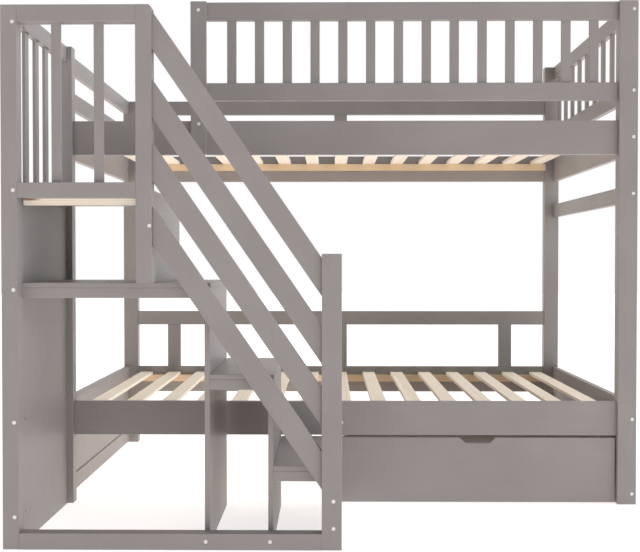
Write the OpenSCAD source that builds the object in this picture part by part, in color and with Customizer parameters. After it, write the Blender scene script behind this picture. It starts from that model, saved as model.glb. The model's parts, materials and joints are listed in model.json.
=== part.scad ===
// Bunk bed with a staircase at the front left, a drawer under the lower bunk and
// slatted mattress bases. Millimetres, +Z up, +Y to the rear, +X to the right.
// The origin is on the floor under the middle of the whole footprint.

/* [Bed frame] */
// Length over the corner posts
bed_l = 2000; // [1900:10:2200]
// Width over the corner posts
bed_w = 1080; // [980:10:1300]
// Width of a corner post along the bed
post_w = 64; // [56:1:80]
// Depth of a corner post across the bed
post_t = 40; // [34:1:48]
// Thickness of every rail board
rail_t = 22; // [20:1:25]
// Height of the long rails and of the end rails beside them
rail_h = 116; // [110:1:130]
// Set-back of the long rails behind the post faces, and thickness of the guard post
rail_set = 15; // [12:1:17]
// Set-back of the end rails behind the outer post faces
end_set = 3; // [0:1:6]
// Height of the lower rails' bottom edge above the floor
lower_rail_z = 235; // [220:1:260]
// Height of the upper rails' bottom edge above the floor
upper_rail_z = 1202; // [1190:1:1300]

/* [End frames] */
// Height of a narrow rail in the end frames and guards
narrow_h = 58; // [52:1:66]
// Height of the front guard's top rail
guard_top_h = 61; // [54:1:68]
// Height of the bottom end rail's lower edge above the floor
foot_rail_z = 7; // [4:1:20]
// Thickness of the closed panel between the bottom and lower end rails
end_panel_t = 12; // [9:1:14]
// Depth of the grooves that hold the end panel and the drawer bottom
groove_d = 6; // [4:1:7]
// Space between the middle end rail and the upper end rail
middle_rail_drop = 106; // [80:1:140]

/* [Guards] */
// Height of the high guard and right posts above the upper rails
guard_h = 406; // [380:1:430]
// Height of the left posts above the upper rails
low_guard_h = 253; // [240:1:280]
// Clear space between the two rails of the high guard
guard_gap = 218; // [190:1:240]
// Clear space between the two rails of the left end guard
left_guard_gap = 71; // [60:1:85]
// Left edge of the guard post beside the way in, from the bed's left side
guard_post_x = 472; // [455:1:520]
// Width of the guard post
guard_post_w = 54; // [44:1:60]
// Width of a guard baluster
baluster_w = 32; // [24:1:36]
// Thickness of a guard baluster
baluster_t = 10; // [8:1:12]
// Depth of the mortises that hold the balusters
mortise_d = 12; // [10:1:15]
// Balusters in the front guard
front_balusters = 14; // [12:1:15]
// From the guard post to the middle of the first baluster
front_baluster_first = 85; // [70:1:110]
// From the last baluster's middle to the right post
front_baluster_last = 81; // [60:1:100]
// Balusters in the right end guard
end_balusters = 9; // [7:1:10]
// From the front post to the middle of that guard's first baluster
end_baluster_first = 92; // [70:1:110]
// From the middle of its last baluster to the rear post
end_baluster_last = 64; // [50:1:90]
// Height of the two rear guard rails
rear_rail_h = 62; // [56:1:70]
// Clear space between the lower rear rail and the guard rail above it
lower_guard_gap = 193; // [150:1:220]
// Width of the uprights that carry the rear guard rails
upright_w = 58; // [50:1:70]
// Middle of the left upright from the bed's left side
left_upright_x = 231; // [150:1:300]
// Middle of the right upright from the bed's right side
right_upright_x = 243; // [150:1:300]

/* [Slats] */
// Slats in each bunk
slats = 15; // [10:1:16]
// Width of a slat
slat_w = 55; // [45:1:70]
// Thickness of a slat
slat_t = 13; // [11:1:18]
// Middle of the first slat from the end of the bed
slat_first = 106; // [98:1:130]
// Gap between a slat's end and the long rail
slat_gap = 3; // [1:0.5:6]
// Depth of the slat tops below the rail tops
slat_drop = 24; // [20:1:26]
// Height of the cleats under the slats
cleat_h = 30; // [27:1:32]
// Thickness of the cleats
cleat_t = 20; // [16:1:25]
// Left face of the bearer under the lower slats, from the bed's left side
bearer_x = 979; // [960:1:1010]
// Height of the bearer under the lower slats
bearer_h = 73; // [68:1:77]

/* [Staircase] */
// Distance of the stair frame's front from the post faces
stair_d = 495; // [440:5:600]
// Set-in of the stair frame from the bed's left side
stair_set = 2; // [0:1:6]
// Depth of the stair frame's members
frame_t = 40; // [32:1:46]
// Width of the two stiles
stile_w = 46.5; // [46:0.5:56]
// Middle of the side guard and side panel from the bed's left side
side_mid = 36; // [34:0.5:38]
// Height of the stair frame's top rail
top_rail_h = 48; // [44:1:56]
// Height of the rail at the platform
mid_rail_h = 44; // [40:1:52]
// Height of the rail on the floor
base_rail_h = 47.5; // [44:0.5:56]
// Height of that rail's top above the platform
platform_lip = 21; // [18:1:24]
// Thickness of the platform board
platform_t = 17; // [15:1:19]
// Height of the cleat under the platform's front edge
platform_cleat_h = 25; // [20:1:30]
// Width of that cleat
platform_cleat_w = 20; // [16:1:26]
// Height of the first tread
first_tread_z = 235; // [200:1:250]
// Rise from tread to tread
rise = 268.5; // [250:0.5:275]
// Thickness of a tread board
tread_t = 15; // [13:1:18]
// Height of the apron below a tread's front edge
apron_h = 30; // [20:1:40]
// Thickness of the upright panels and aprons
panel_t = 15; // [14:1:18]
// Set-in of the inner panels from the treads' rear edges
panel_set = 20; // [10:1:60]
// Length of the platform from the left stile's outer side to the riser panel's face
platform_l = 434.5; // [425:0.5:445]
// Going of the upper tread
upper_going = 160.5; // [150:0.5:175]
// Going of the middle tread
middle_going = 186; // [175:0.5:195]
// Going of the lower tread
lower_going = 183.5; // [175:0.5:190]
// Overhang of a tread past the panel that carries its end
nosing = 3; // [1:0.5:6]
// Newel's edge past the outer face of the last panel
newel_past = 16.5; // [13:0.5:18]
// Width of the newel post
newel_w = 58; // [54:1:64]
// Height of the newel post
newel_h = 856; // [800:1:900]
// Chamfer at the right stile's top corner
stile_chamfer = 8; // [4:1:12]
// Balusters in the front of the stair guard
stair_balusters = 2; // [1:1:3]
// Width of a front baluster of the stair guard
stair_baluster_w = 28; // [22:1:36]
// Height of the side guard's top rail
side_top_h = 53; // [50:1:60]
// Balusters in the side of the stair guard
side_balusters = 4; // [3:1:4]
// From the frame's back to the middle of the first side baluster
side_baluster_first = 73; // [56:1:80]
// Distance from side baluster to side baluster
side_baluster_pitch = 93; // [84:1:104]
// Boards in the sloping hand rail
handrails = 4; // [2:1:4]
// Width of a sloping board
handrail_w = 63; // [50:1:70]
// Thickness of a sloping board
handrail_t = 20; // [18:1:24]
// Drop of the first board's upper corner below the stair frame's top
handrail_top_drop = 16; // [14:1:30]
// Drop of the first board's lower corner below the newel's top
handrail_newel_drop = 11; // [4:1:20]
// Drop from the first sloping board to the second
handrail_first_step = 196; // [180:1:200]
// Drop from each further sloping board to the next
handrail_step = 182; // [170:1:190]

/* [Drawer] */
// Gap between the newel's side and the drawer front's left end
drawer_left_gap = 4; // [3:1:20]
// Gap between the drawer front's right end and the post
drawer_right_gap = 4; // [3:1:20]
// Gap above the drawer front
drawer_top_gap = 8; // [4:1:12]
// Gap between the drawer front and the floor
drawer_floor_gap = 3; // [2:1:14]
// Depth of the drawer from front to back
drawer_d = 900; // [700:10:960]
// Thickness of the drawer front
drawer_front_t = 18; // [16:1:20]
// Thickness of the drawer's sides and back
drawer_side_t = 12; // [11:1:15]
// Set-in of the drawer's sides from the ends of its front
drawer_side_set = 10; // [8:1:40]
// Depth of the drawer's side tops below the front's top edge
drawer_side_drop = 21; // [20:1:30]
// Height of the drawer sides' lower edge above the floor
drawer_side_z = 48; // [46:1:56]
// Thickness of the drawer's bottom panel
drawer_bottom_t = 9; // [6:1:12]
// Height of the bottom panel above the sides' lower edge
drawer_bottom_up = 6; // [5:1:9]
// Width of the hand notch at the top
notch_top_w = 126; // [110:1:160]
// Width of the hand notch at the bottom
notch_low_w = 86; // [70:1:100]
// Depth of the hand notch
notch_d = 19.5; // [15:0.5:20]
// Radius of the hand notch's lower corners
notch_r = 9; // [4:1:12]

/* [Casters] */
// Diameter of a caster wheel
wheel_d = 40; // [34:1:42]
// Width of a caster wheel
wheel_w = 18; // [14:1:20]
// Play beside a wheel inside its bracket
wheel_play = 0.8; // [0.5:0.1:1.5]
// Diameter of the wheel axles
axle_d = 6; // [5:0.5:8]
// Clearance round an axle
axle_fit = 0.05; // [0.02:0.01:0.09]
// Thickness of the caster brackets
bracket_t = 2.5; // [2:0.5:3]
// Length of a bracket's plate along the drawer
bracket_l = 60; // [50:1:80]
// Width of a bracket's plate
bracket_w = 50; // [44:1:60]
// Set-in of the casters from the drawer's sides
caster_x = 75; // [50:1:200]
// Set-in of the casters from the drawer's front and back
caster_y = 80; // [50:1:200]

/* [Fasteners] */
// Diameter of the frame bolts
bolt_d = 6; // [5:0.5:8]
// Diameter of the bolt heads
bolt_head_d = 12.5; // [11:0.5:14]
// Thickness of the bolt heads
bolt_head_h = 3; // [2:0.5:4]
// Clearance round bolts, screws and heads
bore_fit = 0.3; // [0.2:0.05:0.5]
// Diameter of the barrel nuts
nut_d = 10; // [9.5:0.5:11]
// Distance of a barrel nut from the rail's end
nut_in = 30; // [25:1:32]
// Reach of a bolt into the rail's end
bolt_in = 38; // [36:1:39]
// Clearance round nuts, dowels and tenons
peg_fit = 0.1; // [0.05:0.05:0.2]
// Diameter of the dowels
dowel_d = 8; // [6:1:8]
// Reach of a dowel into each piece at a frame joint
dowel_in = 20; // [15:1:22]
// Reach of a dowel into each piece at a panel joint
short_dowel_in = 10; // [8:1:12]
// Diameter of the wood screws
screw_d = 4; // [3.5:0.5:5]
// Diameter of the wood screws' heads
screw_head_d = 8; // [7:0.5:9]
// Length of the screws in the slats
slat_screw_l = 30; // [25:1:38]
// Length of the screws in the cleats and the drawer's back
cleat_screw_l = 34; // [30:1:38]

/* [Hidden] */
$fn = 32;

paint = [0.58, 0.56, 0.55];
pine = [0.90, 0.82, 0.70];
steel = [0.80, 0.80, 0.79];
wheel_grey = [0.22, 0.22, 0.23];

// Slack for cuts that run out through a face, and width of a line that is tested for entering
out = 1;
touch = 0.1;

// Heights of the bed
lower_rail_top = lower_rail_z + rail_h;
upper_rail_top = upper_rail_z + rail_h;
tall_post_h = upper_rail_top + guard_h;
short_post_h = upper_rail_top + low_guard_h;
guard_low_z = tall_post_h - 2 * narrow_h - guard_gap;
left_low_z = short_post_h - 2 * narrow_h - left_guard_gap;
middle_rail_z = upper_rail_z - middle_rail_drop - narrow_h;
foot_rail_top = foot_rail_z + narrow_h;
rear_guard_z = short_post_h - rear_rail_h;
lower_guard_z = lower_rail_top + lower_guard_gap;

// Places along and across the bed: 0 is the left or the front, 1 the right or the rear
function across_x(end, a, b) = end == 0 ? [a, b] : [bed_l - b, bed_l - a];
function across_y(side, a, b) = side == 0 ? [a, b] : [bed_w - b, bed_w - a];
function mid(span) = (span[0] + span[1]) / 2;
function post_x(end) = across_x(end, 0, post_w);
function post_y(side) = across_y(side, 0, post_t);
function end_rail_x(end) = across_x(end, end_set, end_set + rail_t);
function long_rail_y(side) = across_y(side, rail_set, rail_set + rail_t);
function inward(side) = side == 0 ? 1 : -1;
between_x = [post_w, bed_l - post_w];
between_y = [post_t, bed_w - post_t];
inner_y = [rail_set + rail_t, bed_w - rail_set - rail_t];

// Balusters and uprights
guard_post_end = guard_post_x + guard_post_w;
front_run = [guard_post_end + front_baluster_first, between_x[1] - front_baluster_last];
front_baluster_x = [for (i = [0:front_balusters - 1])
  front_run[0] + i * (front_run[1] - front_run[0]) / (front_balusters - 1)];
end_run = [between_y[0] + end_baluster_first, between_y[1] - end_baluster_last];
end_baluster_y = [for (i = [0:end_balusters - 1])
  end_run[0] + i * (end_run[1] - end_run[0]) / (end_balusters - 1)];
lower_upright_x = [left_upright_x, bed_l / 2, bed_l - right_upright_x];

// Slats and cleats
slat_pitch = (bed_l - 2 * slat_first) / (slats - 1);
slat_x = [for (i = [0:slats - 1]) slat_first + i * slat_pitch];
slat_y = [inner_y[0] + slat_gap, inner_y[1] - slat_gap];
function slat_z(rail_top) = rail_top - slat_drop - slat_t;
bearer_span = [bearer_x, bearer_x + rail_t];
cleat_screw_x = [for (i = [1:4:slats - 2]) slat_x[i] + slat_pitch / 2];

// The staircase; the platform's cleat stops short of the left stile
platform_cleat_in = 4;
stair_front = -stair_d;
frame_back = stair_front + frame_t;
frame_mid = stair_front + frame_t / 2;
stair_left = stair_set;
stile_right = stair_left + stile_w;
riser_face = stair_left + platform_l;
stile2_left = riser_face - stile_w;
tall_face = riser_face + upper_going;
short_face = tall_face + middle_going;
newel_panel_face = short_face + lower_going;
newel_right = newel_panel_face + newel_past;
newel_left = newel_right - newel_w;
tread_z = [for (i = [0:2]) first_tread_z + i * rise];
platform_z = first_tread_z + 3 * rise;
mid_rail_top = platform_z + platform_lip;
mid_rail_z = mid_rail_top - mid_rail_h;
stair_top = short_post_h;
top_rail_z = stair_top - top_rail_h;
platform_cleat_z = [platform_z - platform_t - platform_cleat_h, platform_z - platform_t];
platform_cleat_x = [stile_right + platform_cleat_in, stile2_left];
side_rail_x = [side_mid - rail_t / 2, side_mid + rail_t / 2];
side_panel_x = [side_mid - panel_t / 2, side_mid + panel_t / 2];
side_top_z = stair_top - side_top_h;
stair_y = [frame_back, 0];
panel_y = [frame_back, -panel_set];
stair_baluster_gap = (stile2_left - stile_right - stair_balusters * stair_baluster_w)
  / (stair_balusters + 1);
stair_baluster_x = [for (i = [0:stair_balusters - 1])
  stile_right + (i + 1) * stair_baluster_gap + (i + 0.5) * stair_baluster_w];
side_baluster_y = [for (i = [0:side_balusters - 1])
  frame_back + side_baluster_first + i * side_baluster_pitch];

// The sloping boards: upper corner heights at the stile and at the newel
handrail_at_stile = stair_top - handrail_top_drop;
handrail_at_newel = newel_h - handrail_newel_drop;
handrail_slope = atan2(handrail_at_stile - handrail_at_newel, newel_left - riser_face);
handrail_v = handrail_w / cos(handrail_slope);
handrail_down = [for (i = [0:handrails - 1])
  i == 0 ? 0 : handrail_first_step + (i - 1) * handrail_step];

// The drawer
drawer_x = [newel_right + drawer_left_gap, between_x[1] - drawer_right_gap];
drawer_z = [drawer_floor_gap, lower_rail_z - drawer_top_gap];
drawer_y = [rail_set, rail_set + drawer_d];
drawer_front_y = [drawer_y[0], drawer_y[0] + drawer_front_t];
drawer_side_h = [drawer_side_z, drawer_z[1] - drawer_side_drop];
drawer_outer = [drawer_x[0] + drawer_side_set, drawer_x[1] - drawer_side_set];
drawer_inner = [drawer_outer[0] + drawer_side_t, drawer_outer[1] - drawer_side_t];
drawer_back_y = [drawer_y[1] - drawer_side_t, drawer_y[1]];
bottom_z = [drawer_side_z + drawer_bottom_up, drawer_side_z + drawer_bottom_up + drawer_bottom_t];
bottom_x = [drawer_inner[0] - groove_d, drawer_inner[1] + groove_d];
bottom_y = [drawer_front_y[1] - groove_d, drawer_back_y[0] + groove_d];
wheel_x = [drawer_inner[0] + caster_x, drawer_inner[1] - caster_x];
wheel_y = [drawer_front_y[1] + caster_y, drawer_back_y[0] - caster_y];
ear_in = wheel_w / 2 + wheel_play;
ear_out = ear_in + bracket_t;
bracket_screw_in = 8;
bracket_screw_x = (bracket_w / 2 + ear_out) / 2;
bracket_screw_y = bracket_l / 2 - bracket_screw_in;
caster_screw_d = 3.5;
caster_screw_head_d = 6;
caster_screw_head_h = 1.5;
caster_screw_l = 8;

// Bolts: [start on the face, direction, length, distance to the nut, way out of the nut, nut's
// length, distance from the nut's middle to the mouth of its pocket]
rail_nut_l = 15;
panel_nut_l = 12;
sleeve_l = 14;
bolt_spread = 58;
dowel_spread = 84;
handrail_dowel_spread = 34;
bolt_down = 16;
dowel_up = 16;
guard_post_bolt_spread = 92;
sleeve_end = 4;
upright_dowel_spread = 30;
rail_dowel_spread = 24;
platform_dowel_x = [120, 220, 320];
function rail_nut(way) = [nut_in, way, rail_nut_l, rail_t / 2];
function panel_nut(way) = [nut_in, way, panel_nut_l, panel_t / 2];
function bolt(start, dir, through, nut) =
  [start, dir, through + bolt_in, through + nut[0], nut[1], nut[2], nut[3]];

wide_z = [lower_rail_z + rail_h / 2, upper_rail_z + rail_h / 2];
left_narrow_z = [foot_rail_z, left_low_z, short_post_h - narrow_h];
right_narrow_z = [foot_rail_z, middle_rail_z, guard_low_z, tall_post_h - narrow_h];
function narrow_mid(end) = [for (z = end == 0 ? left_narrow_z : right_narrow_z) z + narrow_h / 2];
guard_mid = [guard_low_z + narrow_h / 2, tall_post_h - narrow_h / 2];
rear_mid = [rear_guard_z + rear_rail_h / 2, lower_guard_z + rear_rail_h / 2];
guard_post_mid = guard_post_x + guard_post_w / 2;
panel_bolt_z = [93.5, 368, 752];
side_top_bolt_up = 4.5;
side_top_bolt_z = side_top_z + side_top_bolt_up;
side_low_bolt_z = mid_rail_z + mid_rail_h / 2;
base_bolt_z = base_rail_h / 2;
newel_bolt_z = [62.5, 141.5];
riser_bolt_z = 937;
bearer_z = [slat_z(lower_rail_top) - bearer_h, slat_z(lower_rail_top)];

end_bolts = [for (end = [0, 1], side = [0, 1], z = concat(wide_z, narrow_mid(end)))
  bolt([mid(end_rail_x(end)), side * bed_w, z], [0, inward(side), 0], post_t,
    rail_nut([inward(end), 0, 0]))];
long_rail_bolts = [for (end = [0, 1], side = [0, 1], z = wide_z, k = [-0.5, 0.5])
  bolt([end * bed_l, mid(long_rail_y(side)), z + k * bolt_spread], [inward(end), 0, 0], post_w,
    rail_nut([0, 1, 0]))];
front_guard_bolts = [for (z = guard_mid)
  bolt([bed_l, mid(long_rail_y(0)), z - bolt_down], [-1, 0, 0], post_w, rail_nut([0, 1, 0]))];
rear_guard_bolts = [for (end = [0, 1], z = rear_mid)
  bolt([end * bed_l, mid(long_rail_y(1)), z - bolt_down], [inward(end), 0, 0], post_w,
    rail_nut([0, 1, 0]))];
guard_post_z = concat(guard_mid, [for (k = [-0.5, 0.5]) wide_z[1] + k * guard_post_bolt_spread]);
guard_post_bolts = [for (z = guard_post_z)
  [[guard_post_mid, 0, z], [0, 1, 0], rail_set + rail_t - sleeve_end,
    rail_set + rail_t - sleeve_l / 2, [0, 1, 0], sleeve_l, sleeve_l / 2]];
bearer_bolts = [for (side = [0, 1])
  bolt([mid(bearer_span), side == 0 ? rail_set : bed_w - rail_set, mid(bearer_z)],
    [0, inward(side), 0], rail_t, rail_nut([-1, 0, 0]))];
side_guard_bolts = [for (z = [side_top_bolt_z, side_low_bolt_z], back = [0, 1])
  bolt([side_mid, back == 0 ? stair_front : post_t, z], [0, inward(back), 0],
    back == 0 ? frame_t : post_t, rail_nut([1, 0, 0]))];
side_panel_bolts = [for (z = panel_bolt_z, back = [0, 1])
  bolt([side_mid, back == 0 ? stair_front : post_t, z], [0, inward(back), 0],
    back == 0 ? frame_t : post_t, panel_nut([1, 0, 0]))];
front_panel_bolts = [for (place = concat(
    [[riser_face, riser_bolt_z], [tall_face, base_bolt_z], [short_face, base_bolt_z]],
    [for (z = newel_bolt_z) [newel_panel_face, z]]))
  bolt([place[0] - panel_t / 2, stair_front, place[1]], [0, 1, 0], frame_t, panel_nut([-1, 0, 0]))];
BOLTS = concat(end_bolts, long_rail_bolts, front_guard_bolts, rear_guard_bolts, guard_post_bolts,
  bearer_bolts, side_guard_bolts, side_panel_bolts, front_panel_bolts);

// Dowels: [middle on the joint, direction, reach into each piece]
function dowel(at, dir) = [at, dir, dowel_in];
function short_dowel(at, dir) = [at, dir, short_dowel_in];
along_x = [1, 0, 0];
along_y = [0, 1, 0];
along_z = [0, 0, 1];
end_wide_dowels = [for (end = [0, 1], y = between_y, z = wide_z, k = [-0.5, 0.5])
  dowel([mid(end_rail_x(end)), y, z + k * dowel_spread], along_y)];
end_narrow_dowels = [for (end = [0, 1], y = between_y, z = narrow_mid(end))
  dowel([mid(end_rail_x(end)), y, z + dowel_up], along_y)];
guard_dowels = [for (z = guard_mid) dowel([between_x[1], mid(long_rail_y(0)), z + dowel_up], along_x)];
rear_dowels = [for (x = between_x, z = rear_mid) dowel([x, mid(long_rail_y(1)), z + dowel_up], along_x)];
upright_dowels = [for (place = concat(
    [for (x = lower_upright_x, z = [lower_rail_top, lower_guard_z]) [x, z]],
    [for (z = [upper_rail_top, rear_guard_z]) [bed_l / 2, z]]), k = [-0.5, 0.5])
  dowel([place[0] + k * upright_dowel_spread, mid(long_rail_y(1)), place[1]], along_z)];
frame_dowels = [for (place = [[stile_right, top_rail_z + top_rail_h / 2],
    [stile2_left, top_rail_z + top_rail_h / 2], [stile_right, mid_rail_z + mid_rail_h / 2],
    [stile2_left, mid_rail_z + mid_rail_h / 2], [stile_right, base_rail_h / 2],
    [newel_left, base_rail_h / 2]], k = [-0.5, 0.5])
  dowel([place[0], frame_mid, place[1] + k * rail_dowel_spread], along_x)];
handrail_dowels = [for (down = handrail_down, place = [[riser_face, handrail_at_stile],
    [newel_left, handrail_at_newel]], k = [-0.5, 0.5])
  dowel([place[0], frame_mid, place[1] - down - handrail_v / 2 + k * handrail_dowel_spread], along_x)];
tread_dowel_in = [80, 100];
tread_dowel_y = [frame_back + tread_dowel_in[0], -tread_dowel_in[1]];
tread_dowels = [for (y = tread_dowel_y, place = [
    [side_panel_x[1], tread_z[2] - tread_t / 2, along_x], [tall_face, tread_z[1] - tread_t / 2, along_x],
    [short_face, tread_z[0] - tread_t / 2, along_x],
    [side_rail_x[1], platform_z - platform_t / 2, along_x],
    [tall_face - panel_t / 2, tread_z[2] - tread_t, along_z],
    [short_face - panel_t / 2, tread_z[1] - tread_t, along_z],
    [newel_panel_face - panel_t / 2, tread_z[0] - tread_t, along_z],
    [riser_face - panel_t / 2, tread_z[2], along_z],
    [riser_face - panel_t / 2, platform_z - platform_t, along_z]])
  short_dowel([place[0], y, place[1]], place[2])];
apron_spans = [[short_face, newel_panel_face - panel_t], [tall_face, short_face - panel_t],
  [side_panel_x[1], tall_face - panel_t]];
apron_dowels = [for (i = [0:2], x = apron_spans[i])
  short_dowel([x, frame_back + panel_t / 2, tread_z[i] - tread_t - apron_h / 2], along_x)];
platform_dowels = [for (x = platform_dowel_x)
  short_dowel([stair_left + x, frame_back, platform_z - platform_t / 2], along_y)];
DOWELS = concat(end_wide_dowels, end_narrow_dowels, guard_dowels, rear_dowels, upright_dowels,
  frame_dowels, handrail_dowels, tread_dowels, apron_dowels, platform_dowels);

// Countersunk wood screws: [start on the face, direction, length]
slat_screws = [for (top = [lower_rail_top, upper_rail_top], x = slat_x, side = [0, 1])
  [[x, mid(across_y(side, inner_y[0], inner_y[0] + cleat_t)), top - slat_drop], [0, 0, -1],
    slat_screw_l]];
cleat_screws = [for (top = [lower_rail_top, upper_rail_top], x = cleat_screw_x, side = [0, 1])
  [[x, across_y(side, inner_y[0] + cleat_t, 0)[side == 0 ? 0 : 1], slat_z(top) - cleat_h / 2],
    [0, -inward(side), 0], cleat_screw_l]];
platform_screw_x = [70, 170, 270, 360];
platform_screw_in = 10;
platform_screws = [for (x = platform_screw_x)
  [[stair_left + x, frame_back + platform_cleat_w / 2, platform_cleat_z[0]], along_z,
    platform_cleat_h + platform_screw_in]];
SCREWS = concat(slat_screws, cleat_screws, platform_screws);
corner_in = [25, 30];
corner_z = [bottom_z[1] + corner_in[0], drawer_side_h[1] - corner_in[1]];
DRAWER_SCREWS = [for (end = [0, 1], z = corner_z)
  [[drawer_outer[end], mid(drawer_back_y), z], [inward(end), 0, 0], cleat_screw_l]];

// Pegs between the drawer's sides and its front
peg_d = 6;
drawer_peg_at = [for (end = [0, 1], z = corner_z)
  [drawer_outer[end] + inward(end) * drawer_side_t / 2, drawer_front_y[1], z]];

module to_origin() {
  translate([-bed_l / 2, -(bed_w - stair_d) / 2, 0]) children();
}

module aim(dir) {
  turn = dir.x != 0 ? [0, 90 * dir.x, 0] : dir.y != 0 ? [-90 * dir.y, 0, 0] : [dir.z < 0 ? 180 : 0, 0, 0];
  rotate(turn) children();
}

module block(x, y, z) {
  translate([x[0], y[0], z[0]]) cube([x[1] - x[0], y[1] - y[0], z[1] - z[0]]);
}

// Whether the run from a to b, as wide as r on every side, enters the block from lo to hi
function enters(a, b, r, lo, hi) =
  min([for (i = [0:2]) min(hi[i], max(a[i], b[i]) + r) - max(lo[i], min(a[i], b[i]) - r)]) > 0.01;

module bolt_bore(b) {
  translate(b[0]) aim(b[1]) {
    translate([0, 0, -out]) cylinder(h = bolt_head_h + out, d = bolt_head_d + 2 * bore_fit);
    cylinder(h = b[2] + bore_fit, d = bolt_d + 2 * bore_fit);
  }
}

function nut_at(b) = b[0] + b[3] * b[1];

module nut_pocket(b) {
  translate(nut_at(b) - b[5] / 2 * b[4]) aim(b[4])
    cylinder(h = b[5] / 2 + b[6] + out, d = nut_d + 2 * peg_fit);
}

module dowel_bore(d) {
  translate(d[0] - (d[2] + peg_fit) * d[1]) aim(d[1])
    cylinder(h = 2 * (d[2] + peg_fit), d = dowel_d + 2 * peg_fit);
}

module screw_shape(s, fit) {
  head_h = (screw_head_d - screw_d) / 2;
  translate(s[0]) aim(s[1]) {
    cylinder(h = head_h, d1 = screw_head_d + 2 * fit, d2 = screw_d + 2 * fit);
    cylinder(h = s[2] + fit, d = screw_d + 2 * fit);
  }
}

module bores(lo, hi) {
  for (b = BOLTS) {
    if (enters(b[0], b[0] + b[2] * b[1], bolt_d / 2, lo, hi)) bolt_bore(b);
    if (enters(nut_at(b) - b[5] / 2 * b[4], nut_at(b) + b[5] / 2 * b[4], touch, lo, hi)) nut_pocket(b);
  }
  for (d = DOWELS)
    if (enters(d[0] - d[2] * d[1], d[0] + d[2] * d[1], touch, lo, hi)) dowel_bore(d);
  for (s = SCREWS)
    if (enters(s[0], s[0] + s[2] * s[1], screw_head_d / 2, lo, hi)) screw_shape(s, peg_fit);
}

// A square-edged board with every bore that its neighbours' fasteners need
module board(x, y, z) {
  difference() {
    block(x, y, z);
    bores([x[0], y[0], z[0]], [x[1], y[1], z[1]]);
    children();
  }
}

function widened(span, by) = [span[0] - by, span[1] + by];
function around(centre, width) = [centre - width / 2, centre + width / 2];

// The closed panel of an end frame, and its groove when fit is above zero
module end_panel_shape(end, fit) {
  block(widened(around(mid(end_rail_x(end)), end_panel_t), fit),
    widened(between_y, groove_d - peg_fit + fit),
    widened([foot_rail_top, lower_rail_z], groove_d - peg_fit + fit));
}

module corner_post(end, side) {
  color(paint) board(post_x(end), post_y(side), [0, end == 0 ? short_post_h : tall_post_h])
    end_panel_shape(end, peg_fit);
}

module front_left_post() { corner_post(0, 0); }
module front_right_post() { corner_post(1, 0); }
module rear_left_post() { corner_post(0, 1); }
module rear_right_post() { corner_post(1, 1); }

module long_rail(side, z) {
  color(paint) board(between_x, long_rail_y(side), [z, z + rail_h]);
}

module lower_front_rail() { long_rail(0, lower_rail_z); }
module lower_rear_rail() { long_rail(1, lower_rail_z); }
module upper_front_rail() { long_rail(0, upper_rail_z); }
module upper_rear_rail() { long_rail(1, upper_rail_z); }

module end_rail(end, z, height) {
  color(paint) board(end_rail_x(end), between_y, [z, z + height]) children();
}

module bottom_end_rails() {
  for (end = [0, 1]) end_rail(end, foot_rail_z, narrow_h) end_panel_shape(end, peg_fit);
}

module lower_end_rails() {
  for (end = [0, 1]) end_rail(end, lower_rail_z, rail_h) end_panel_shape(end, peg_fit);
}

module upper_end_rails() {
  for (end = [0, 1]) end_rail(end, upper_rail_z, rail_h);
}

module middle_end_rail() { end_rail(1, middle_rail_z, narrow_h); }

module end_panels() {
  color(paint) for (end = [0, 1]) end_panel_shape(end, 0);
}

module left_guard_rails() {
  for (z = [left_low_z, short_post_h - narrow_h]) end_rail(0, z, narrow_h);
}

// A baluster reaches into both mortises; the mortises are the same shape, widened
module end_baluster(y, fit) {
  block(widened(around(mid(end_rail_x(1)), baluster_t), fit), widened(around(y, baluster_w), fit),
    widened([guard_low_z + narrow_h, tall_post_h - narrow_h], mortise_d - peg_fit + fit));
}

module right_guard_rails() {
  for (z = [guard_low_z, tall_post_h - narrow_h])
    end_rail(1, z, narrow_h)
      for (y = end_baluster_y) end_baluster(y, peg_fit);
}

module right_guard_balusters() {
  color(paint) for (y = end_baluster_y) end_baluster(y, 0);
}

module front_guard_post() {
  color(paint) board([guard_post_x, guard_post_end], [0, rail_set], [upper_rail_z, tall_post_h]);
}

module front_baluster(x, fit) {
  block(widened(around(x, baluster_w), fit), widened(around(mid(long_rail_y(0)), baluster_t), fit),
    widened([guard_low_z + narrow_h, tall_post_h - guard_top_h], mortise_d - peg_fit + fit));
}

module front_guard_rail(z) {
  color(paint) board([guard_post_x, between_x[1]], long_rail_y(0), z)
    for (x = front_baluster_x) front_baluster(x, peg_fit);
}

module front_guard_top_rail() { front_guard_rail([tall_post_h - guard_top_h, tall_post_h]); }
module front_guard_lower_rail() { front_guard_rail([guard_low_z, guard_low_z + narrow_h]); }

module front_guard_balusters() {
  color(paint) for (x = front_baluster_x) front_baluster(x, 0);
}

module rear_guard_rail() {
  color(paint) board(between_x, long_rail_y(1), [rear_guard_z, short_post_h]);
}

module lower_guard_rail() {
  color(paint) board(between_x, long_rail_y(1), [lower_guard_z, lower_guard_z + rear_rail_h]);
}

module rear_guard_uprights() {
  color(paint) {
    for (x = lower_upright_x)
      board(around(x, upright_w), long_rail_y(1), [lower_rail_top, lower_guard_z]);
    board(around(bed_l / 2, upright_w), long_rail_y(1), [upper_rail_top, rear_guard_z]);
  }
}

// The slats' cleats along the long rails, and the platform's cleat
module support_cleats() {
  color(pine) {
    for (side = [0, 1]) {
      y = across_y(side, inner_y[0], inner_y[0] + cleat_t);
      for (x = [[between_x[0], bearer_span[0]], [bearer_span[1], between_x[1]]])
        board(x, y, [slat_z(lower_rail_top) - cleat_h, slat_z(lower_rail_top)]);
      board(between_x, y, [slat_z(upper_rail_top) - cleat_h, slat_z(upper_rail_top)]);
    }
    board(platform_cleat_x, [frame_back, frame_back + platform_cleat_w], platform_cleat_z);
  }
}

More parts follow.
